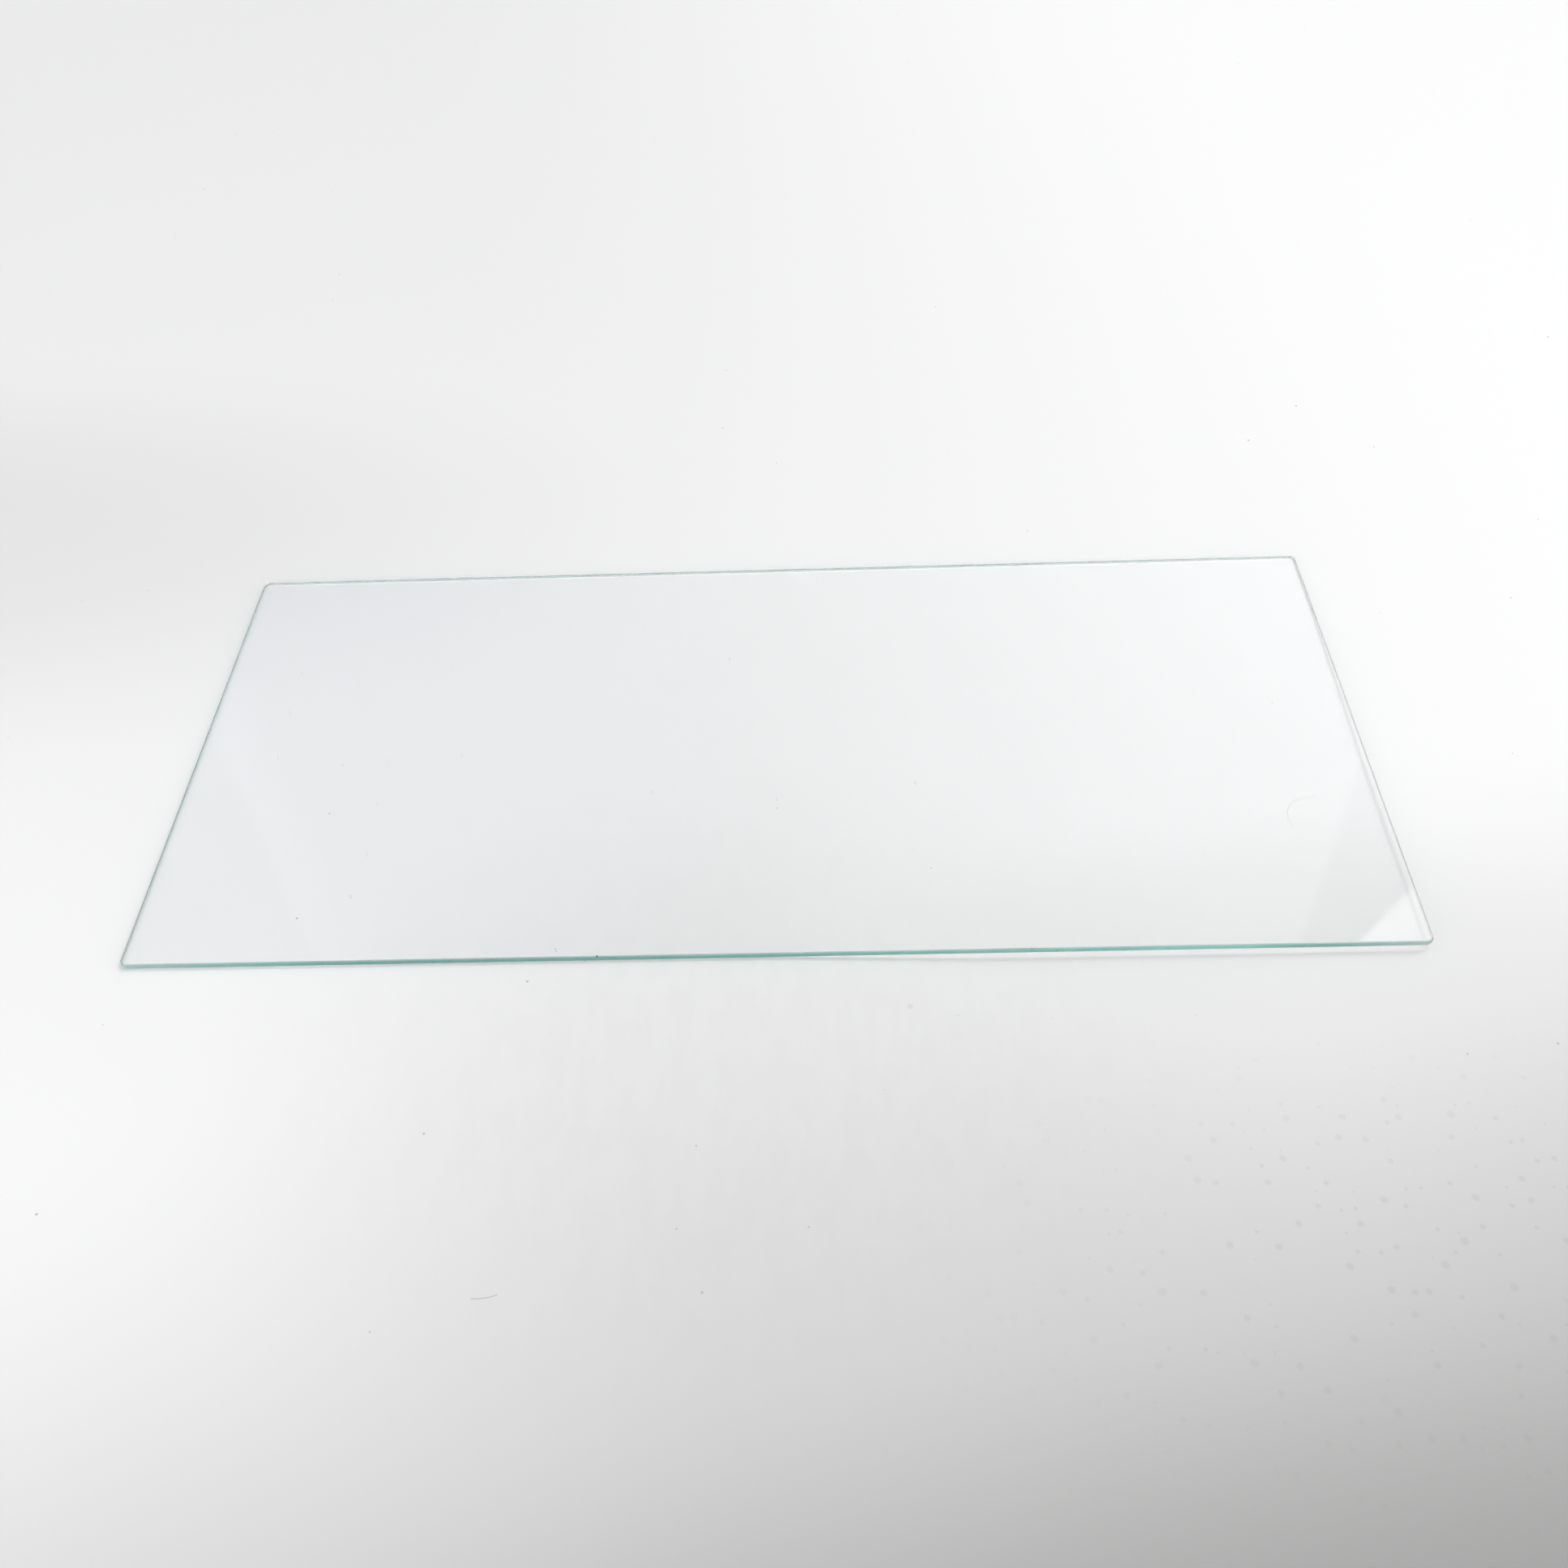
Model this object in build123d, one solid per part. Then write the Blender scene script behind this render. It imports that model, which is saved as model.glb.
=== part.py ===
import os

from build123d import *

# Clear toughened glass pane that covers a crisper drawer, lying flat on its lower face.
# X runs along the front edge, Y from front to back and Z up.
# The origin is under the middle of the pane, in the plane of its lower face.

# Sheet, in millimetres
pane_length = 610.0  # along X
pane_depth = 284.0  # along Y
pane_thickness = 3.2  # nominal 1/8 in float glass

# The sharp rims of the cut sheet are ground off all round, above and below
arris_width = 0.5  # taken off each face and off the edge

# The corners are ground off by hand, each a little differently: what goes along X, what goes
# along Y, and the radius that the belt leaves where the cut meets the straight edges
front_left_dub = (2.7, 2.5, 1.2)
front_right_dub = (2.9, 1.8, 1.2)
rear_right_dub = (1.6, 1.6, 1.2)
rear_left_dub = (2.7, 2.6, 3.0)

# Two shell chips in the upper front arris: (width along the arris, depth into it)
left_chip = (1.1, 0.25)
left_chip_from_end = 225.7  # from the left end of the pane
right_chip = (0.7, 0.15)
right_chip_from_end = 183.3  # from the right end of the pane


def dubbed_outline():
    # Eight corners of the plan, anticlockwise from the front left
    right = pane_length / 2
    rear = pane_depth / 2
    points = [
        (-right + front_left_dub[0], -rear),
        (right - front_right_dub[0], -rear),
        (right, -rear + front_right_dub[1]),
        (right, rear - rear_right_dub[1]),
        (right - rear_right_dub[0], rear),
        (-right + rear_left_dub[0], rear),
        (-right, rear - rear_left_dub[1]),
        (-right, -rear + front_left_dub[1]),
    ]
    return make_face(Polyline(*points, close=True))


def upright_edges(sheet, side, end):
    # The upright edges in one quarter of the plan, such as (1, -1) for the front right
    uprights = sheet.edges().filter_by(Axis.Z)
    return uprights.filter_by(lambda edge: edge.center().X * side > 0 and edge.center().Y * end > 0)


def ground_sheet():
    # The cut sheet with its corners dubbed and both of its rims seamed
    sheet = extrude(dubbed_outline(), amount=pane_thickness)
    sheet = fillet(upright_edges(sheet, -1, -1), front_left_dub[2])
    sheet = fillet(upright_edges(sheet, 1, -1), front_right_dub[2])
    sheet = fillet(upright_edges(sheet, 1, 1), rear_right_dub[2])
    sheet = fillet(upright_edges(sheet, -1, 1), rear_left_dub[2])
    faces = sheet.faces().sort_by(Axis.Z)
    return chamfer(faces[0].edges() + faces[-1].edges(), arris_width)


def shell_chip(size, x):
    # Ball that bites a shell of this width and depth out of the upper front arris at x
    width, bite = size
    radius = (width**2 / 4 + bite**2) / (2 * bite)
    seat = Vector(x, -pane_depth / 2 + arris_width / 2, pane_thickness - arris_width / 2)
    outward = Vector(0, -1, 1).normalized()
    return Pos(seat + outward * (radius - bite)) * Sphere(radius)


glass_pane = ground_sheet()
glass_pane -= shell_chip(left_chip, -pane_length / 2 + left_chip_from_end)
glass_pane -= shell_chip(right_chip, pane_length / 2 - right_chip_from_end)

os.makedirs("parts", exist_ok=True)
export_step(glass_pane, "parts/glass_pane.step")
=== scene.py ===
import math

import bpy
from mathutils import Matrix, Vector, noise


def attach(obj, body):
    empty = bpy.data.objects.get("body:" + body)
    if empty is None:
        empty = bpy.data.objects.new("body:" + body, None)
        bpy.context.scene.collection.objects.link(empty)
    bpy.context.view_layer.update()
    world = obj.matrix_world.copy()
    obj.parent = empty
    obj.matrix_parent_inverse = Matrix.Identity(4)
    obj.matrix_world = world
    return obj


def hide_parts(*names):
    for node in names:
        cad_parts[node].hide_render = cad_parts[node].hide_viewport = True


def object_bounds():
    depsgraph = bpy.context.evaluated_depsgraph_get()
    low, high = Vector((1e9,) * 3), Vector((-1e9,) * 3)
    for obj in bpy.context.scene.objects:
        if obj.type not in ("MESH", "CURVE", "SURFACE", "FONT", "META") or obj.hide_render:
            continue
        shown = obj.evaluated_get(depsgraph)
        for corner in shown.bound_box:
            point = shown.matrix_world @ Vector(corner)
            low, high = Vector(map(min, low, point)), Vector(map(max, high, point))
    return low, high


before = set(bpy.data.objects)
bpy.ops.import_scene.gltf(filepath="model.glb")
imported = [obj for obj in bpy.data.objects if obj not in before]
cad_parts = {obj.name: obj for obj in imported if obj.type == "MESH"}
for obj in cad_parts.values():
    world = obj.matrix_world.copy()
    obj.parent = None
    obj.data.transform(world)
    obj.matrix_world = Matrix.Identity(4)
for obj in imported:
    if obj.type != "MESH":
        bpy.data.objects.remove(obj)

cadLow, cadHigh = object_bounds()
print("frame loaded:", [round(v, 4) for v in cadHigh - cadLow])

mm = 0.001
tiny = 1e-6  # metres, for telling places apart


# Node helpers

def newMaterial(name):
    material = bpy.data.materials.new(name)
    material.use_nodes = True
    tree = material.node_tree
    tree.nodes.clear()
    return material, tree


def addNode(tree, kind, label=None, **settings):
    node = tree.nodes.new(kind)
    if label:
        node.label = label
    for key, value in settings.items():
        setattr(node, key, value)
    return node


def feed(tree, socket, value):
    # A socket takes either another node's output or a plain value
    if isinstance(value, bpy.types.NodeSocket):
        tree.links.new(value, socket)
    else:
        socket.default_value = value


def mathNode(tree, operation, *values, label=None):
    node = addNode(tree, "ShaderNodeMath", label, operation=operation)
    for socket, value in zip(node.inputs, values):
        feed(tree, socket, value)
    return node.outputs[0]


def dotNode(tree, vector, axis, label=None):
    node = addNode(tree, "ShaderNodeVectorMath", label, operation="DOT_PRODUCT")
    feed(tree, node.inputs[0], vector)
    node.inputs[1].default_value = axis
    return node.outputs["Value"]


def rampNode(tree, value, low, high, toLow=0.0, toHigh=1.0, label=None):
    # Smooth ramp from toLow to toHigh while value goes from low to high
    node = addNode(tree, "ShaderNodeMapRange", label, interpolation_type="SMOOTHSTEP")
    feed(tree, node.inputs["Value"], value)
    feed(tree, node.inputs["From Min"], low)
    feed(tree, node.inputs["From Max"], high)
    feed(tree, node.inputs["To Min"], toLow)
    feed(tree, node.inputs["To Max"], toHigh)
    return node.outputs["Result"]


def mixColor(tree, amount, first, second, label=None):
    node = addNode(tree, "ShaderNodeMix", label, data_type="RGBA")
    feed(tree, node.inputs["Factor"], amount)
    feed(tree, node.inputs[6], first)
    feed(tree, node.inputs[7], second)
    return node.outputs[2]


def newGroup(name, *values):
    # Empty shader node group that takes a place and some plain values, and gives a mask
    group = bpy.data.node_groups.new(name, "ShaderNodeTree")
    group.interface.new_socket("Place", in_out="INPUT", socket_type="NodeSocketVector")
    for label in values:
        group.interface.new_socket(label, in_out="INPUT", socket_type="NodeSocketFloat")
    group.interface.new_socket("Mask", in_out="OUTPUT", socket_type="NodeSocketFloat")
    given = group.nodes.new("NodeGroupInput").outputs
    put = group.nodes.new("NodeGroupOutput").inputs
    return group, given, put


def placeGroup(tree, group, **values):
    node = addNode(tree, "ShaderNodeGroup", group.name)
    node.node_tree = group
    for key, value in values.items():
        feed(tree, node.inputs[key], value)
    return node.outputs["Mask"]


def scaledPlace(tree, place, length):
    # Coordinates counted in steps of this length
    node = addNode(tree, "ShaderNodeVectorMath", operation="SCALE")
    feed(tree, node.inputs[0], place)
    feed(tree, node.inputs["Scale"], mathNode(tree, "DIVIDE", 1.0, length))
    return node.outputs[0]


# Effects that the glass and the sheet share

effectLook = {
    "speckCore": 0.5,  # share of a speck's size that has its full colour
    "spotCore": 0.4,  # share of a spot's reach
    "hairCore": 0.3,  # share of a hair's width
    "smearDetail": 2.0,
    "smearRoughness": 0.6,
}


def makeSpecks():
    # Dust: one speck in each cell of a loose grid, of which only a share shows
    group, given, put = newGroup("dustSpecks", "Spacing", "Size", "Share")
    cells = addNode(group, "ShaderNodeTexVoronoi", voronoi_dimensions="2D", feature="F1")
    cells.inputs["Scale"].default_value = 1.0
    feed(group, cells.inputs["Vector"], scaledPlace(group, given["Place"], given["Spacing"]))
    draw = addNode(group, "ShaderNodeSeparateColor")
    feed(group, draw.inputs[0], cells.outputs["Color"])
    away = mathNode(group, "MULTIPLY", cells.outputs["Distance"], given["Spacing"])
    size = mathNode(group, "MULTIPLY", given["Size"], draw.outputs["Green"])
    core = mathNode(group, "MULTIPLY", size, effectLook["speckCore"])
    speck = rampNode(group, away, size, core)
    shown = mathNode(group, "LESS_THAN", draw.outputs["Red"], given["Share"])
    feed(group, put["Mask"], mathNode(group, "MULTIPLY", speck, shown))
    return group


def makeSmears():
    # Soft uneven smears of about the given length
    group, given, put = newGroup("softSmears", "Length", "Low", "High")
    cloud = addNode(group, "ShaderNodeTexNoise", noise_dimensions="2D")
    cloud.inputs["Scale"].default_value = 1.0
    cloud.inputs["Detail"].default_value = effectLook["smearDetail"]
    cloud.inputs["Roughness"].default_value = effectLook["smearRoughness"]
    feed(group, cloud.inputs["Vector"], scaledPlace(group, given["Place"], given["Length"]))
    feed(group, put["Mask"], rampNode(group, cloud.outputs[0], given["Low"], given["High"]))
    return group


specksGroup = makeSpecks()
smearsGroup = makeSmears()


# Pane: the cut sheet with dubbed corners and seamed rims, as one closed mesh

paneShape = {
    "arris": 0.5 * mm,
    "arrisWander": 0.05 * mm,  # how much the hand-held belt widens and narrows the arris
    "wanderLength": 38 * mm,
    "lowerShift": 7.3,  # so that the lower arris wanders in its own way
    "rimRound": 0.14 * mm,  # radius the belt leaves along each arris
    "rimSteps": 4,
    "faceRows": (0.48 * mm, 0.28 * mm, 0.12 * mm),  # flat rows beside the arris, for the chips
    "arrisSteps": 6,
    "edgeSteps": 4,
    "sideStep": 4.0 * mm,  # column spacing along the straight sides
    "cornerSteps": 10,
    # Each corner: ground off along X, along Y, and the radius left at both ends of the cut
    "frontLeft": (2.7 * mm, 2.5 * mm, 1.2 * mm),
    "frontRight": (2.9 * mm, 1.8 * mm, 1.2 * mm),
    "rearRight": (1.6 * mm, 1.6 * mm, 1.2 * mm),
    "rearLeft": (2.7 * mm, 2.6 * mm, 3.0 * mm),
}

# Shell chips in the upper front arris
chipShape = {
    "left": {"fromLeft": 225.7 * mm, "width": 1.1 * mm, "depth": 0.25 * mm},
    "right": {"fromLeft": 426.7 * mm, "width": 0.7 * mm, "depth": 0.15 * mm},
    "columns": 28,
    "meshReach": 0.8,  # closely meshed this far to either side, as a share of the width
    "ripple": 0.012 * mm,  # height of the rings in the shell
    "rings": 3,
}


def chipBalls():
    # Ball that bites each shell: its middle, its radius and the chip it belongs to
    balls = []
    half = paneShape["arris"] / 2
    outward = Vector((0, -1, 1)).normalized()
    for key in ("left", "right"):
        chip = chipShape[key]
        radius = (chip["width"] ** 2 / 4 + chip["depth"] ** 2) / (2 * chip["depth"])
        seat = Vector((cadLow.x + chip["fromLeft"], cadLow.y + half, cadHigh.z - half))
        balls.append((seat + outward * (radius - chip["depth"]), radius, seat, chip))
    return balls


def planCorners():
    # Eight corners of the plan, anticlockwise from the front left, with their radii
    left, right, front, rear = cadLow.x, cadHigh.x, cadLow.y, cadHigh.y
    fl, fr = paneShape["frontLeft"], paneShape["frontRight"]
    rr, rl = paneShape["rearRight"], paneShape["rearLeft"]
    return [
        (Vector((left + fl[0], front)), fl[2]),
        (Vector((right - fr[0], front)), fr[2]),
        (Vector((right, front + fr[1])), fr[2]),
        (Vector((right, rear - rr[1])), rr[2]),
        (Vector((right - rr[0], rear)), rr[2]),
        (Vector((left + rl[0], rear)), rl[2]),
        (Vector((left, rear - rl[1])), rl[2]),
        (Vector((left, front + fl[1])), fl[2]),
    ]


def roundCorner(before, corner, after, radius):
    # Columns (place, outward direction) round one corner of the plan
    toBefore = (before - corner).normalized()
    toAfter = (after - corner).normalized()
    halfAngle = math.acos(max(-1.0, min(1.0, toBefore.dot(toAfter)))) / 2
    middle = corner + (toBefore + toAfter).normalized() * (radius / math.sin(halfAngle))
    startOut = Vector((-toBefore.y, toBefore.x))
    endOut = Vector((toAfter.y, -toAfter.x))
    start = math.atan2(startOut.y, startOut.x)
    turn = (math.atan2(endOut.y, endOut.x) - start) % (2 * math.pi)
    columns = []
    for step in range(paneShape["cornerSteps"] + 1):
        angle = start + turn * step / paneShape["cornerSteps"]
        out = Vector((math.cos(angle), math.sin(angle)))
        columns.append((middle + out * radius, out))
    return columns


def sideStops(start, end):
    # Distances along a straight side, close together at the chips
    length = (end - start).length
    count = max(1, round(length / paneShape["sideStep"]))
    stops = {round(length * k / count, 7) for k in range(1, count)}
    if abs(start.y - cadLow.y) < tiny and abs(end.y - cadLow.y) < tiny:
        for _, _, seat, chip in chipBalls():
            reach = chip["width"] * chipShape["meshReach"]
            for k in range(chipShape["columns"] + 1):
                along = seat.x - start.x - reach + 2 * reach * k / chipShape["columns"]
                stops.add(round(along, 7))
    return sorted(stops)


def outlineColumns():
    corners = planCorners()
    arcs = []
    for k, (corner, radius) in enumerate(corners):
        before = corners[k - 1][0]
        after = corners[(k + 1) % len(corners)][0]
        arcs.append(roundCorner(before, corner, after, radius))
    columns = []
    for k, arc in enumerate(arcs):
        columns += arc
        start, out = arc[-1]
        end = arcs[(k + 1) % len(arcs)][0][0]
        way = (end - start).normalized()
        for along in sideStops(start, end):
            columns.append((start + way * along, out))
    return columns


def rimProfile(arris):
    # Section of the edge from the upper face to the lower: (inset, height, tilt of the surface)
    height = cadHigh.z
    radius = paneShape["rimRound"]
    steps = paneShape["rimSteps"]
    trim = radius * math.tan(math.pi / 8)
    slant = trim / math.sqrt(2)
    upper = [(arris + beside, height, math.pi / 2) for beside in paneShape["faceRows"]]
    for k in range(steps + 1):  # upper face into the arris
        tilt = math.pi / 2 - (math.pi / 4) * k / steps
        inset = arris + trim - radius * math.cos(tilt)
        upper.append((inset, height - radius + radius * math.sin(tilt), tilt))
    first = upper[-1]
    lastInset, lastHeight = slant, height - arris + slant
    for k in range(1, paneShape["arrisSteps"]):
        part = k / paneShape["arrisSteps"]
        upper.append((
            first[0] + (lastInset - first[0]) * part,
            first[1] + (lastHeight - first[1]) * part,
            math.pi / 4,
        ))
    for k in range(steps + 1):  # arris into the upright edge
        tilt = math.pi / 4 - (math.pi / 4) * k / steps
        inset = radius - radius * math.cos(tilt)
        upper.append((inset, height - arris - trim + radius * math.sin(tilt), tilt))
    lower = [(inset, height - z, -tilt) for inset, z, tilt in reversed(upper)]
    middle = []
    for k in range(1, paneShape["edgeSteps"]):
        part = k / paneShape["edgeSteps"]
        middle.append((0.0, upper[-1][1] + (lower[0][1] - upper[-1][1]) * part, 0.0))
    return upper + middle + lower


def arrisAt(place, lowerSide):
    # The belt's pressure wanders, so the arris is never quite the same width
    scale = 1 / paneShape["wanderLength"]
    shift = paneShape["lowerShift"] if lowerSide else 0.0
    wander = noise.noise(Vector((place.x * scale, place.y * scale, shift)))
    return paneShape["arris"] + paneShape["arrisWander"] * wander


def biteChips(place, normal):
    # A point inside a chip's ball moves out to the shell, which has faint rings
    for middle, radius, seat, chip in chipBalls():
        away = place - middle
        if away.length < radius:
            ring = (place - seat).length / (chip["width"] / 2)
            fade = max(0.0, 1 - ring)
            ripple = chipShape["ripple"] * math.sin(ring * chipShape["rings"] * math.pi) * fade
            direction = away.normalized()
            return middle + direction * (radius + ripple), -direction
    return place, normal


def makePane():
    columns = outlineColumns()
    rowCount = len(rimProfile(paneShape["arris"]))
    points, normals, faces = [], [], []
    for place, out in columns:
        upper = rimProfile(arrisAt(place, False))
        lower = rimProfile(arrisAt(place, True))
        section = upper[:rowCount // 2] + lower[rowCount // 2:]
        for inset, height, tilt in section:
            flat = place - out * inset
            point = Vector((flat.x, flat.y, height))
            normal = Vector((out.x * math.cos(tilt), out.y * math.cos(tilt), math.sin(tilt)))
            point, normal = biteChips(point, normal)
            points.append(point)
            normals.append(normal)
    columnCount = len(columns)
    for c in range(columnCount):
        here = c * rowCount
        there = ((c + 1) % columnCount) * rowCount
        for r in range(rowCount - 1):
            faces.append((here + r, here + r + 1, there + r + 1, there + r))
    faces.append([c * rowCount for c in range(columnCount)])
    faces.append([c * rowCount + rowCount - 1 for c in reversed(range(columnCount))])
    mesh = bpy.data.meshes.new("glassPane")
    mesh.from_pydata(points, [], faces)
    mesh.polygons.foreach_set("use_smooth", [True] * len(mesh.polygons))
    mesh.normals_split_custom_set_from_vertices(normals)
    mesh.validate()
    mesh.update()
    piece = bpy.data.objects.new("glassPane", mesh)
    bpy.context.scene.collection.objects.link(piece)
    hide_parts("glass_pane")
    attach(piece, "root")
    return piece


# Clear float glass with ground rims

glassLook = {
    "ior": 1.52,
    "absorbColor": (0.10, 0.70, 0.63, 1.0),
    "absorbDensity": 5.0,  # per metre
    "clearColor": (1.0, 1.0, 1.0, 1.0),
    "arrisRoughness": 1.0,
    "edgeRoughness": 0.42,  # upright edges at the front and the rear
    "endRoughness": 0.20,  # upright edges at both ends
    "arrisColor": (1.0, 0.95, 0.95, 1.0),  # dust in the arris at the ends and the rear
    "underLeftShadeColor": (0.52, 0.57, 0.56, 1.0),  # painted shade on the lower arris of the left end
    "leftShadeBandColor": (0.54, 0.63, 0.61, 1.0),  # and painted shade on the lower face beside it
    "leftShadeBandReach": (2.5 * mm, 0.6 * mm),
    "grindLength": 0.9 * mm,  # the belt's marks run along the edge
    "grindWidth": 0.07 * mm,
    "grindDepth": 0.004 * mm,
    "grindDetail": 3.0,
    "grindUneven": 0.18,  # how much the marks change the roughness
    "grindSpan": (0.3, 0.7),
    "smearLength": 70 * mm,
    "smearCover": (0.50, 0.72),
    "smearRoughness": 0.05,
    "dustSpacing": 34 * mm,
    "dustSize": 0.45 * mm,
    "dustShare": 0.35,
    "dustColor": (0.42, 0.42, 0.40, 1.0),
}

# How the pane's surfaces are told apart by the way that they point
surfaceLimits = {
    "face": 0.995,  # the faces point at least this much up or down
    "upright": 0.15,  # and the upright edges at most this much
    "end": 0.6,  # upright edges at either end point at least this much to the side
    "left": 0.3,  # arrises at the left end point at least this much to the left
    "front": 0.6,  # arrises along the front point at least this much forwards
}

# Grime caught in the chips and at one place on the lower arris
grimeSpots = [
    {"fromLeft": chipShape["left"]["fromLeft"], "fromFront": 0.25 * mm, "height": 2.95 * mm,
     "reach": 0.75 * mm, "color": (0.05, 0.06, 0.055, 1.0)},
    {"fromLeft": chipShape["right"]["fromLeft"], "fromFront": 0.25 * mm, "height": 2.95 * mm,
     "reach": 0.5 * mm, "color": (0.36, 0.42, 0.40, 1.0)},
    {"fromLeft": 219.6 * mm, "fromFront": 0.1 * mm, "height": 0.4 * mm,
     "reach": 0.55 * mm, "color": (0.08, 0.09, 0.085, 1.0)},
]

# Fine hair lying on the upper face, a bow of a circle
hairLook = {
    "middle": (269.2 * mm, -63.4 * mm, 0.0),
    "radius": 13.2 * mm,
    "width": 0.11 * mm,
    "facing": (-0.777, 0.629, 0.0),  # from the circle's middle to the middle of the bow
    "spread": (0.40, 0.46),  # cosine of the angle at the ends of the bow
    "color": (0.66, 0.65, 0.63, 1.0),
}


def spotColor(tree, place, color, seat, spot):
    # Round spot of another colour about its seat
    apart = addNode(tree, "ShaderNodeVectorMath", "spot", operation="DISTANCE")
    feed(tree, apart.inputs[0], place)
    apart.inputs[1].default_value = seat
    mask = rampNode(tree, apart.outputs["Value"], spot["reach"], spot["reach"] * effectLook["spotCore"])
    return mixColor(tree, mask, color, spot["color"])


def hairMask(tree, place, look):
    # Thin line along a bow of a circle, seen from above
    apart = addNode(tree, "ShaderNodeVectorMath", "hair", operation="SUBTRACT")
    feed(tree, apart.inputs[0], place)
    apart.inputs[1].default_value = look["middle"]
    flat = addNode(tree, "ShaderNodeVectorMath", operation="MULTIPLY")
    feed(tree, flat.inputs[0], apart.outputs[0])
    flat.inputs[1].default_value = (1, 1, 0)
    length = addNode(tree, "ShaderNodeVectorMath", operation="LENGTH")
    feed(tree, length.inputs[0], flat.outputs[0])
    off = mathNode(tree, "SUBTRACT", length.outputs["Value"], look["radius"])
    off = mathNode(tree, "ABSOLUTE", off)
    line = rampNode(tree, off, look["width"], look["width"] * effectLook["hairCore"])
    way = addNode(tree, "ShaderNodeVectorMath", operation="NORMALIZE")
    feed(tree, way.inputs[0], flat.outputs[0])
    bow = rampNode(tree, dotNode(tree, way.outputs[0], look["facing"]), *look["spread"])
    return mathNode(tree, "MULTIPLY", line, bow)


def grindMarks(tree, place):
    # Fine streaks along the ground edge
    fine = addNode(tree, "ShaderNodeVectorMath", "belt marks", operation="DIVIDE")
    feed(tree, fine.inputs[0], place)
    length, width = glassLook["grindLength"], glassLook["grindWidth"]
    fine.inputs[1].default_value = (length, length, width)
    streaks = addNode(tree, "ShaderNodeTexNoise", noise_dimensions="3D")
    streaks.inputs["Scale"].default_value = 1.0
    streaks.inputs["Detail"].default_value = glassLook["grindDetail"]
    feed(tree, streaks.inputs["Vector"], fine.outputs[0])
    return streaks.outputs[0]


def glassParts(tree):
    # Masks of the pane's surfaces
    limit = surfaceLimits
    normal = addNode(tree, "ShaderNodeNewGeometry").outputs["True Normal"]
    upward = dotNode(tree, normal, (0, 0, 1))
    upness = mathNode(tree, "ABSOLUTE", upward)
    sideways = dotNode(tree, normal, (1, 0, 0))
    sideness = mathNode(tree, "ABSOLUTE", sideways)
    rearward = dotNode(tree, normal, (0, 1, 0))
    rim = mathNode(tree, "LESS_THAN", upness, limit["face"], label="rim")
    upright = mathNode(tree, "LESS_THAN", upness, limit["upright"], label="upright edge")
    return {
        "rim": rim,
        "upright": upright,
        "arris": mathNode(tree, "SUBTRACT", rim, upright, label="arris"),
        "upperFace": mathNode(tree, "GREATER_THAN", upward, limit["face"], label="upper face"),
        "lowerFace": mathNode(tree, "LESS_THAN", upward, -limit["face"], label="lower face"),
        "under": mathNode(tree, "LESS_THAN", upward, 0.0, label="points down"),
        "eitherEnd": mathNode(tree, "GREATER_THAN", sideness, limit["end"], label="either end"),
        "leftEnd": mathNode(tree, "LESS_THAN", sideways, -limit["left"], label="left end"),
        "notFront": mathNode(tree, "GREATER_THAN", rearward, -limit["front"], label="not along the front"),
    }


def glassRoughness(tree, place, parts, marks):
    # Frosted arrises, finer upright edges, faint smears on the upper face
    finish = glassLook["edgeRoughness"], glassLook["endRoughness"]
    edge = rampNode(tree, parts["eitherEnd"], 0.0, 1.0, *finish)
    ground = mathNode(tree, "MULTIPLY", parts["arris"], glassLook["arrisRoughness"], label="arris finish")
    ground = mathNode(tree, "MULTIPLY_ADD", parts["upright"], edge, ground, label="edge finish")
    uneven = glassLook["grindUneven"]
    streaks = rampNode(tree, marks, *glassLook["grindSpan"], 1 - uneven, 1 + uneven)
    ground = mathNode(tree, "MULTIPLY", ground, streaks)
    low, high = glassLook["smearCover"]
    smears = placeGroup(
        tree, smearsGroup, Place=place, Length=glassLook["smearLength"], Low=low, High=high,
    )
    smeared = mathNode(tree, "MULTIPLY", smears, glassLook["smearRoughness"])
    smeared = mathNode(tree, "MULTIPLY", smeared, parts["upperFace"])
    return mathNode(tree, "ADD", ground, smeared)


def glassColor(tree, place, parts):
    # Dusty arrises, painted shade under the left end, grime in the chips, dust and a hair on the upper
    # face
    under = mathNode(tree, "MULTIPLY", parts["leftEnd"], parts["under"])
    dustAndShade = mixColor(tree, under, glassLook["arrisColor"], glassLook["underLeftShadeColor"])
    dull = mathNode(tree, "MULTIPLY", parts["arris"], parts["notFront"])
    color = mixColor(tree, dull, glassLook["clearColor"], dustAndShade)
    inward = dotNode(tree, place, (1, 0, 0))
    inward = mathNode(tree, "SUBTRACT", inward, cadLow.x, label="from the left end")
    # painted shade on the lower face near the left end
    shadeBand = rampNode(tree, inward, *glassLook["leftShadeBandReach"])
    shadeBand = mathNode(tree, "MULTIPLY", parts["lowerFace"], shadeBand)
    color = mixColor(tree, shadeBand, color, glassLook["leftShadeBandColor"])
    for spot in grimeSpots:
        seat = Vector((cadLow.x + spot["fromLeft"], cadLow.y + spot["fromFront"], spot["height"]))
        color = spotColor(tree, place, color, seat, spot)
    specks = placeGroup(
        tree, specksGroup, Place=place, Spacing=glassLook["dustSpacing"],
        Size=glassLook["dustSize"], Share=glassLook["dustShare"],
    )
    dust = mathNode(tree, "MULTIPLY", specks, parts["upperFace"])
    color = mixColor(tree, dust, color, glassLook["dustColor"])
    hair = mathNode(tree, "MULTIPLY", hairMask(tree, place, hairLook), parts["upperFace"])
    return mixColor(tree, hair, color, hairLook["color"])


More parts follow.
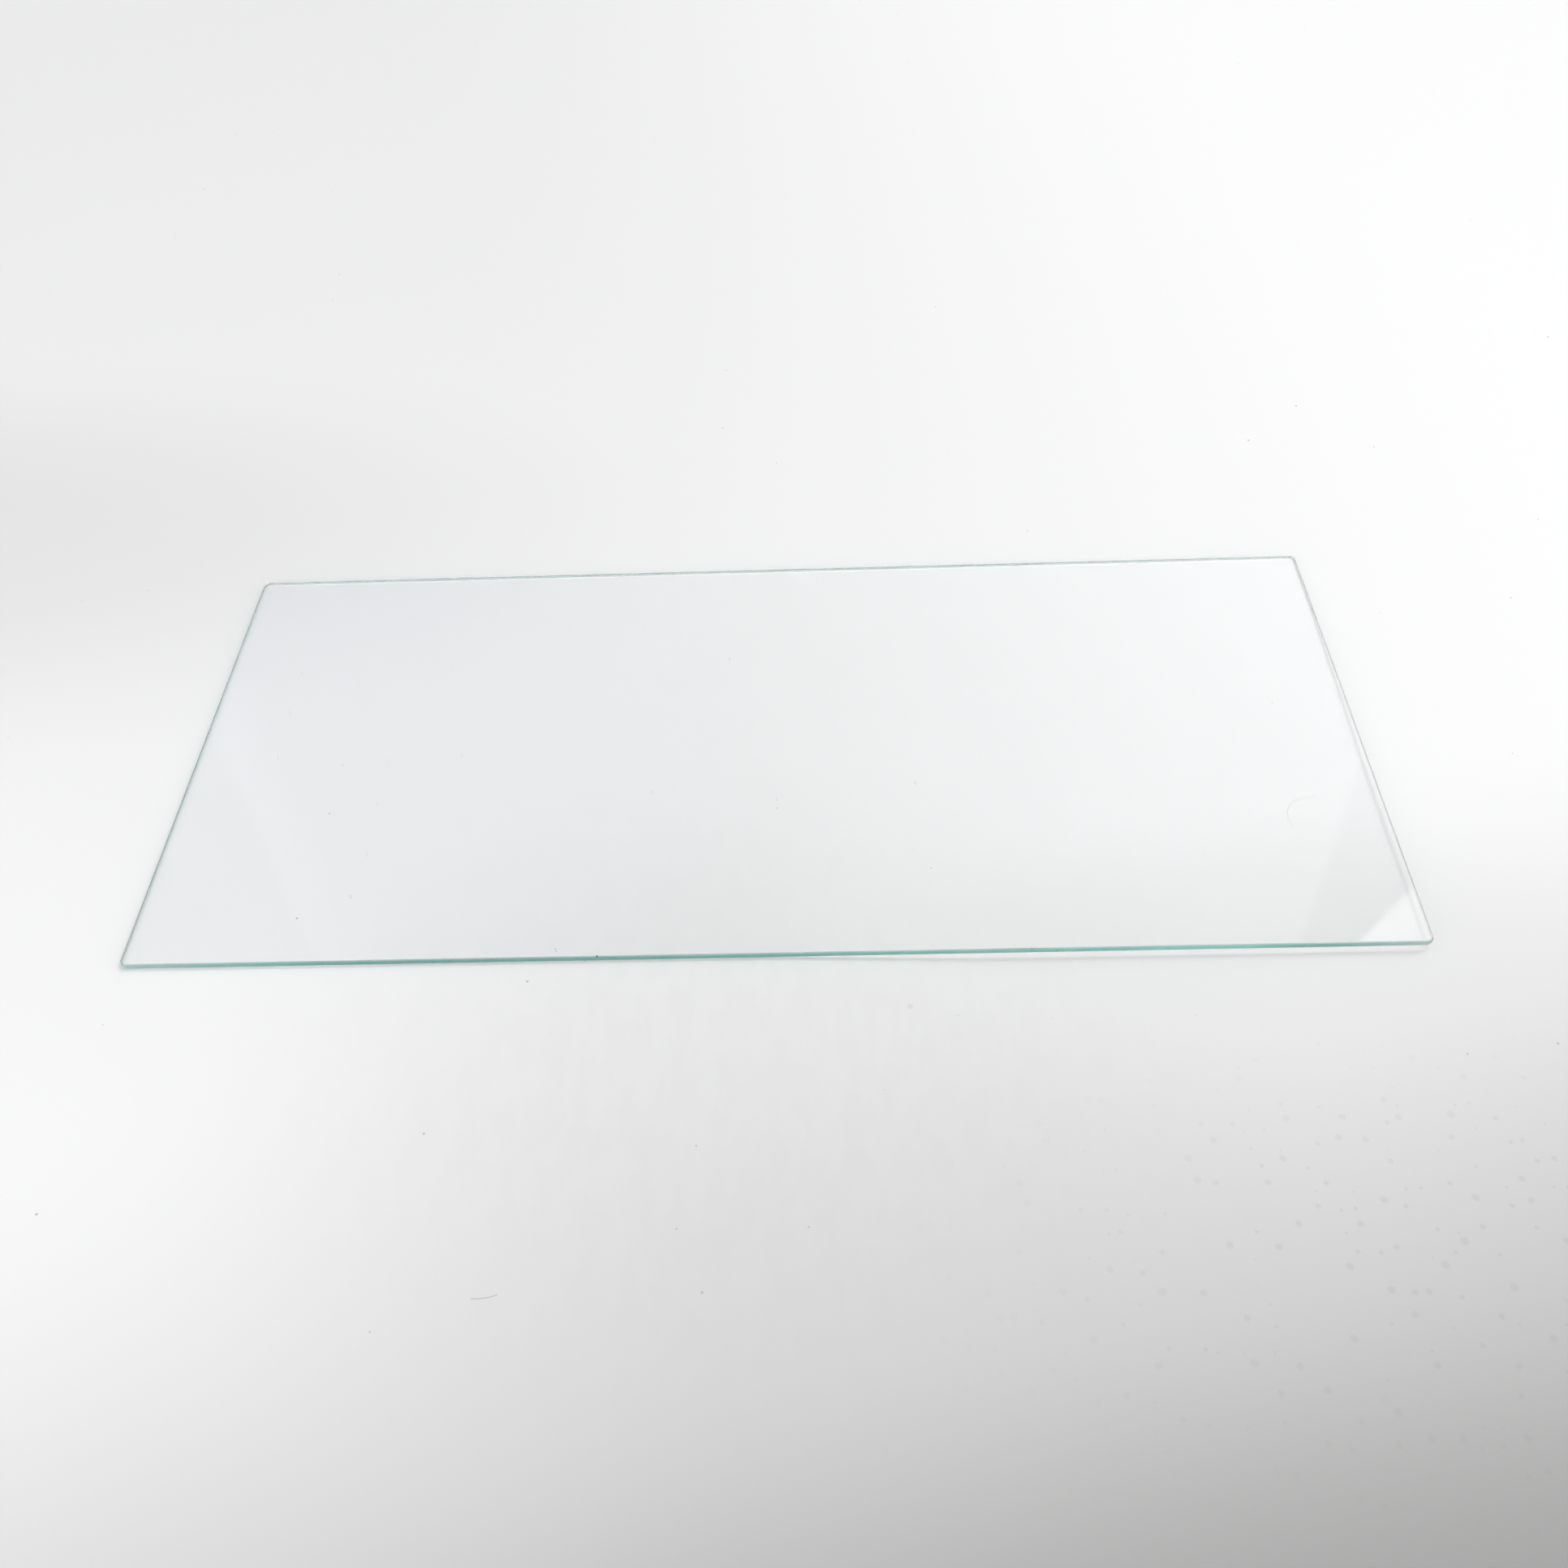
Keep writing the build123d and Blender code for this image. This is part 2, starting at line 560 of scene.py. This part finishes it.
def makeGlassMaterial():
    material, tree = newMaterial("clearGlass")
    out = addNode(tree, "ShaderNodeOutputMaterial")
    glass = addNode(tree, "ShaderNodeBsdfPrincipled")
    glass.inputs["Transmission Weight"].default_value = 1.0
    glass.inputs["IOR"].default_value = glassLook["ior"]
    place = addNode(tree, "ShaderNodeTexCoord").outputs["Object"]
    parts = glassParts(tree)
    marks = grindMarks(tree, place)
    feed(tree, glass.inputs["Roughness"], glassRoughness(tree, place, parts, marks))
    feed(tree, glass.inputs["Base Color"], glassColor(tree, place, parts))
    bump = addNode(tree, "ShaderNodeBump")
    bump.inputs["Distance"].default_value = glassLook["grindDepth"]
    feed(tree, bump.inputs["Strength"], parts["rim"])
    feed(tree, bump.inputs["Height"], marks)
    feed(tree, glass.inputs["Normal"], bump.outputs[0])
    tree.links.new(glass.outputs[0], out.inputs["Surface"])
    tint = addNode(tree, "ShaderNodeVolumeAbsorption")
    tint.inputs["Color"].default_value = glassLook["absorbColor"]
    tint.inputs["Density"].default_value = glassLook["absorbDensity"]
    tree.links.new(tint.outputs[0], out.inputs["Volume"])
    return material


pane = makePane()
pane.data.materials.append(makeGlassMaterial())
print("pane made:", len(pane.data.vertices), "points")


# White sheet on the table

floorLook = {
    "reach": 4.0,  # half its width
    "fine": 0.55,  # half width of the closely meshed middle
    "cells": 140,
    "growth": 7,  # how steeply the cells grow outside the middle
    "gap": 0.05 * mm,  # between the sheet and the pane
    "sag": 2.8 * mm,  # the sheet sinks away under the pane's front right corner
    "sagAlongX": (-0.01, 0.12),
    "sagAlongY": (0.142, -0.10),
    "sagEnds": (0.25, 0.60),  # and comes back up at this distance in front or to the right
    # painted light across the sheet: darker on the left, lighter on the right
    "leftPaintedShade": (0.777, 0.777, 0.777, 1.0),
    "rightPaintedLight": (0.885, 0.885, 0.885, 1.0),
    "acrossWay": (1.0, 0.25, 0.0),
    "acrossReach": (-0.145, 0.654),
    # painted shade towards the front right, pale again further out
    "shadeColor": (0.25, 0.247, 0.244, 1.0),
    "shadeWay": (0.315, -0.949, 0.0),
    "shadeReach": (0.112, 0.615),
    "shadeEnds": (1.05, 0.50),  # pale again further out
    # grey of the painted shade in the patches and dents
    "paintedShadeColor": (0.25, 0.248, 0.245, 1.0),
    "patchFade": (1.0, 0.2),  # from a patch's rim to its full amount, as shares of its size
    "smearLength": 11 * mm,
    "smearStretch": (1.0, 0.45, 1.0),  # scuffs run front to back
    "smearCover": (0.25, 0.75),
    "dustSpacing": 38 * mm,
    "dustSize": 0.8 * mm,
    "dustShare": 0.10,
    "scuffedDust": 3.0,  # how much more dust lies where the sheet is scuffed
    "dustColor": (0.45, 0.44, 0.42, 1.0),
    # small dents whose shading is painted into the colour as grey specks
    "dentSpacing": 9.5 * mm,
    "dentSize": 2.2 * mm,
    "dentShare": 0.7,
    "roughness": 0.6,
}

# Where small dents lie close together, in front on the right; their shading is painted as faint grey
# specks
dentPatch = {
    "name": "dented",
    "middle": (0.28, -0.30, 0.0),
    "size": (0.27, 0.14, 1.0),
    "amount": 0.16,
    "broken": 0.0,
}

# Smudge and fibre on the sheet in front of the pane
smudgeLook = {
    "place": (64.6 * mm, -169.5 * mm),
    "reach": 1.9 * mm,
    "color": (0.62, 0.61, 0.57, 1.0),
}
fibreLook = {
    "middle": (-112.4 * mm, -282.6 * mm, 0.0),
    "radius": 23.0 * mm,
    "width": 0.30 * mm,
    "facing": (0.143, -0.990, 0.0),
    "spread": (0.9725, 0.975),
    "color": (0.42, 0.41, 0.40, 1.0),
}

# Soft grey patches of painted shade on the sheet, the rim one a painted shadow under the pane's front
# edge; the scuffed one, partly painted shade, is broken up by smears and holds more dust
shadePatches = [
    {"name": "left", "middle": (-0.59, 0.19, 0.0), "size": (0.60, 0.235, 1.0),
     "amount": 0.154, "broken": 0.0},
    {"name": "front", "middle": (0.33, -0.52, 0.0), "size": (0.60, 0.22, 1.0),
     "amount": 0.76, "broken": 0.0},
    {"name": "rim", "middle": (0.225, -0.12, 0.0), "size": (0.20, 0.075, 1.0),
     "amount": 0.07, "broken": 0.0},
    {"name": "scuffedShade", "middle": (-0.01, -0.21, 0.0), "size": (0.28, 0.21, 1.0),
     "amount": 0.152, "broken": 0.08},
]


def patchMask(tree, place, smears, patch):
    off = addNode(tree, "ShaderNodeVectorMath", patch["name"] + " patch", operation="SUBTRACT")
    feed(tree, off.inputs[0], place)
    off.inputs[1].default_value = patch["middle"]
    span = addNode(tree, "ShaderNodeVectorMath", operation="DIVIDE")
    feed(tree, span.inputs[0], off.outputs[0])
    span.inputs[1].default_value = patch["size"]
    reach = addNode(tree, "ShaderNodeVectorMath", operation="LENGTH")
    feed(tree, reach.inputs[0], span.outputs[0])
    soft = rampNode(tree, reach.outputs["Value"], *floorLook["patchFade"], 0.0, patch["amount"])
    broken = rampNode(tree, smears, 0.0, 1.0, 1 - patch["broken"], 1 + patch["broken"])
    return mathNode(tree, "MULTIPLY", soft, broken)


def smooth(low, high, value):
    part = max(0.0, min(1.0, (value - low) / (high - low)))
    return part * part * (3 - 2 * part)


def floorHeight(x, y):
    sag = smooth(*floorLook["sagAlongX"], x) * smooth(*floorLook["sagAlongY"], y)
    low, high = floorLook["sagEnds"]
    sag *= 1 - smooth(low, high, max(x - cadHigh.x, cadLow.y - y))
    return -floorLook["gap"] - floorLook["sag"] * sag


def floorMesh():
    # Square grid, fine in the middle and wide outside
    cells = floorLook["cells"]
    beyond = floorLook["reach"] - floorLook["fine"]
    stops = []
    for k in range(cells + 1):
        part = 2 * k / cells - 1
        stops.append(part * floorLook["fine"] + beyond * part ** floorLook["growth"])
    points = [(x, y, floorHeight(x, y)) for y in stops for x in stops]
    row = cells + 1
    faces = []
    for j in range(cells):
        for k in range(cells):
            at = j * row + k
            faces.append((at, at + 1, at + row + 1, at + row))
    mesh = bpy.data.meshes.new("whiteSheet")
    mesh.from_pydata(points, [], faces)
    mesh.polygons.foreach_set("use_smooth", [True] * len(faces))
    return mesh


def paperShade(tree, place):
    # Painted light and shade on the paper: lighter on the right, darker at the front
    across = rampNode(tree, dotNode(tree, place, floorLook["acrossWay"]), *floorLook["acrossReach"])
    sides = floorLook["leftPaintedShade"], floorLook["rightPaintedLight"]
    color = mixColor(tree, across, *sides, "lighter on the right")
    along = dotNode(tree, place, floorLook["shadeWay"])
    comes = rampNode(tree, along, *floorLook["shadeReach"])
    goes = rampNode(tree, along, *floorLook["shadeEnds"])
    shade = mathNode(tree, "MULTIPLY", comes, goes)
    return mixColor(tree, shade, color, floorLook["shadeColor"], "darker at the front")


def paperColor(tree, place):
    # The paper with its painted light and shade, its patches of painted shade, dust, smudge, fibre and the
    # painted shade of its dents
    color = paperShade(tree, place)
    stretched = addNode(tree, "ShaderNodeVectorMath", operation="MULTIPLY")
    feed(tree, stretched.inputs[0], place)
    stretched.inputs[1].default_value = floorLook["smearStretch"]
    low, high = floorLook["smearCover"]
    smears = placeGroup(
        tree, smearsGroup, Place=stretched.outputs[0], Length=floorLook["smearLength"], Low=low, High=high,
    )
    masks = {}
    # each patch darkens the paper with painted shade
    for patch in shadePatches:
        masks[patch["name"]] = patchMask(tree, place, smears, patch)
        color = mixColor(tree, masks[patch["name"]], color, floorLook["paintedShadeColor"])
    dustShare = floorLook["scuffedDust"], floorLook["dustShare"]
    specks = placeGroup(
        tree, specksGroup, Place=place, Spacing=floorLook["dustSpacing"], Size=floorLook["dustSize"],
        Share=mathNode(tree, "MULTIPLY_ADD", masks["scuffedShade"], *dustShare),
    )
    color = mixColor(tree, specks, color, floorLook["dustColor"])
    x, y = smudgeLook["place"]
    color = spotColor(tree, place, color, (x, y, floorHeight(x, y)), smudgeLook)
    color = mixColor(tree, hairMask(tree, place, fibreLook), color, fibreLook["color"])
    # painted shade of the small dents
    dentShade = placeGroup(
        tree, specksGroup, Place=place, Spacing=floorLook["dentSpacing"],
        Size=floorLook["dentSize"], Share=floorLook["dentShare"],
    )
    dentShade = mathNode(tree, "MULTIPLY", dentShade, patchMask(tree, place, smears, dentPatch))
    return mixColor(tree, dentShade, color, floorLook["paintedShadeColor"], "dentShade")


def makeFloor():
    mesh = floorMesh()
    floor = bpy.data.objects.new("whiteSheet", mesh)
    bpy.context.scene.collection.objects.link(floor)
    material, tree = newMaterial("whitePaper")
    out = addNode(tree, "ShaderNodeOutputMaterial")
    paper = addNode(tree, "ShaderNodeBsdfPrincipled")
    place = addNode(tree, "ShaderNodeTexCoord").outputs["Object"]
    feed(tree, paper.inputs["Base Color"], paperColor(tree, place))
    paper.inputs["Roughness"].default_value = floorLook["roughness"]
    tree.links.new(paper.outputs[0], out.inputs["Surface"])
    mesh.materials.append(material)


makeFloor()
print("floor laid")


# Soft studio light: a pale room whose soft box, dim gap and sheen are mirrored in the pane

roomLook = {
    "dimStrength": 0.30,
    "paleStrength": 0.92,
    "dimWay": (-0.8, 0.6, 0.0),  # the room is dim behind on the left
    "dimReach": (0.10, 0.72),
    "duskMiddle": (-0.42, 0.65, 0.63),  # cool part of the room that the pane's left mirrors
    "duskReach": (0.92, 0.99),
    "duskColor": (0.97, 0.985, 1.18, 1.0),
    "rearGlow": 0.30,  # added in a strip behind, which the pane's rear mirrors
    "rearTop": (0.735, 0.60),
    "rearFoot": (0.50, 0.56),
    "rearWay": (0.45, 0.62),
    "topGlow": 0.5,  # added straight overhead
    "topFrom": (0.78, 0.98),
    "boxGlow": 6.5,
    "boxLeast": 1.7,
    "boxCore": (0.972, 0.990),  # cosine of the angle at the box's rim and at its bright middle
    "gapDim": 0.40,
    "sheenGlow": 0.16,
    "sheenDepth": 0.045,  # how far it fades inwards from its straight side
    "plainColor": (1.0, 1.0, 1.0, 1.0),
    "seenStrength": 0.86,  # what the camera sees past the floor
}

# Parts of the room with one straight side: the side's plane and softness, the middle and the reach
roomParts = {
    "box": {"side": (0.6639, -0.7044, 0.2511), "softness": 0.0025,
            "middle": (0.41, 0.36, 0.84), "reach": (0.92, 0.955)},
    "gap": {"side": (0.8941, -0.4478, 0.0), "softness": 0.006,
            "middle": (0.327, 0.607, 0.724), "reach": (0.965, 0.988)},
    "sheen": {"side": (0.8589, 0.5118, -0.0176), "softness": 0.005,
              "middle": (-0.354, 0.630, 0.691), "reach": (0.960, 0.992)},
}


def roomPart(tree, way, part):
    # How far in from the straight side, how near to the middle, and the part's mask
    side = dotNode(tree, way, part["side"], "straight side")
    inside = rampNode(tree, side, -part["softness"], part["softness"])
    near = dotNode(tree, way, Vector(part["middle"]).normalized(), "towards its middle")
    return side, near, mathNode(tree, "MULTIPLY", inside, rampNode(tree, near, *part["reach"]))


def roomLevel(tree, way, height):
    # Pale in front and dim behind on the left, with the gap, the rear strip and the sheen
    across = dotNode(tree, way, roomLook["dimWay"], "towards the dim side")
    strengths = roomLook["paleStrength"], roomLook["dimStrength"]
    level = rampNode(tree, across, *roomLook["dimReach"], *strengths)
    _, _, gap = roomPart(tree, way, roomParts["gap"])
    dimmed = rampNode(tree, gap, 0.0, 1.0, 1.0, 1 - roomLook["gapDim"])
    level = mathNode(tree, "MULTIPLY", level, dimmed)
    top = rampNode(tree, height, *roomLook["rearTop"])
    foot = rampNode(tree, height, *roomLook["rearFoot"])
    strip = mathNode(tree, "MULTIPLY", top, foot)
    rearward = dotNode(tree, way, (0, 1, 0))
    rear = rampNode(tree, rearward, *roomLook["rearWay"], label="behind the pane")
    strip = mathNode(tree, "MULTIPLY", strip, rear)
    level = mathNode(tree, "MULTIPLY_ADD", strip, roomLook["rearGlow"], level)
    side, _, sheen = roomPart(tree, way, roomParts["sheen"])
    fade = rampNode(tree, side, roomLook["sheenDepth"], 0.0, label="fades inwards")
    sheen = mathNode(tree, "MULTIPLY", sheen, fade)
    return mathNode(tree, "MULTIPLY_ADD", sheen, roomLook["sheenGlow"], level)


def makeRoom():
    world = bpy.data.worlds.new("paleRoom")
    bpy.context.scene.world = world
    world.use_nodes = True
    tree = world.node_tree
    tree.nodes.clear()
    out = addNode(tree, "ShaderNodeOutputWorld")
    way = addNode(tree, "ShaderNodeTexCoord").outputs["Generated"]
    height = dotNode(tree, way, (0, 0, 1), "height in the room")
    dusk = dotNode(tree, way, Vector(roomLook["duskMiddle"]).normalized(), "towards the cool part")
    dusk = rampNode(tree, dusk, *roomLook["duskReach"])
    room = addNode(tree, "ShaderNodeBackground")
    color = mixColor(tree, dusk, roomLook["plainColor"], roomLook["duskColor"])
    tree.links.new(color, room.inputs["Color"])
    tree.links.new(roomLevel(tree, way, height), room.inputs["Strength"])
    top = rampNode(tree, height, *roomLook["topFrom"], 0.0, roomLook["topGlow"])
    _, near, box = roomPart(tree, way, roomParts["box"])
    glow = rampNode(tree, near, *roomLook["boxCore"], roomLook["boxLeast"], roomLook["boxGlow"])
    lamp = addNode(tree, "ShaderNodeBackground")
    tree.links.new(mathNode(tree, "MULTIPLY_ADD", box, glow, top), lamp.inputs["Strength"])
    both = addNode(tree, "ShaderNodeAddShader")
    tree.links.new(room.outputs[0], both.inputs[0])
    tree.links.new(lamp.outputs[0], both.inputs[1])
    seen = addNode(tree, "ShaderNodeBackground")
    seen.inputs["Strength"].default_value = roomLook["seenStrength"]
    path = addNode(tree, "ShaderNodeLightPath")
    pick = addNode(tree, "ShaderNodeMixShader")
    tree.links.new(path.outputs["Is Camera Ray"], pick.inputs[0])
    tree.links.new(both.outputs[0], pick.inputs[1])
    tree.links.new(seen.outputs[0], pick.inputs[2])
    tree.links.new(pick.outputs[0], out.inputs["Surface"])


makeRoom()


# Soft lamp low in front on the left, which fills the pane's left end

lampLook = {
    "place": (-0.70, -0.62, 0.42),
    "aim": (-0.30, -0.16, 0.0),
    "size": (0.55, 0.45),
    "power": 1.1,
}


def makeLamp():
    data = bpy.data.lights.new("leftLamp", "AREA")
    data.shape = "RECTANGLE"
    data.size, data.size_y = lampLook["size"]
    data.energy = lampLook["power"]
    lamp = bpy.data.objects.new("leftLamp", data)
    bpy.context.scene.collection.objects.link(lamp)
    lamp.location = lampLook["place"]
    way = Vector(lampLook["aim"]) - Vector(lampLook["place"])
    lamp.rotation_euler = way.to_track_quat("-Z", "Y").to_euler()
    lamp.visible_camera = False


makeLamp()
print("room lit")


# Camera at the photograph's angle

cameraLook = {
    "place": (31.3 * mm, -566.3 * mm, 562.1 * mm),
    "turnDeg": (43.592, 2.171, 0.338),
    "lens": 34.651,
    "sensor": 36.0,
    "nearest": 0.01,  # metres
}


def makeCamera():
    data = bpy.data.cameras.new("photoCamera")
    data.sensor_width = cameraLook["sensor"]
    data.lens = cameraLook["lens"]
    data.clip_start = cameraLook["nearest"]
    camera = bpy.data.objects.new("photoCamera", data)
    bpy.context.scene.collection.objects.link(camera)
    camera.location = cameraLook["place"]
    camera.rotation_euler = [math.radians(v) for v in cameraLook["turnDeg"]]
    bpy.context.scene.camera = camera


makeCamera()
print("camera placed")

lightBounces = 80  # enough for light that runs along inside the pane to come out at its edges
scene = bpy.context.scene
scene.view_settings.view_transform = "Standard"
scene.cycles.blur_glossy = 0.0  # keeps the glass clear for light on its way to the floor
scene.cycles.max_bounces = lightBounces
scene.cycles.glossy_bounces = lightBounces
scene.cycles.transmission_bounces = lightBounces
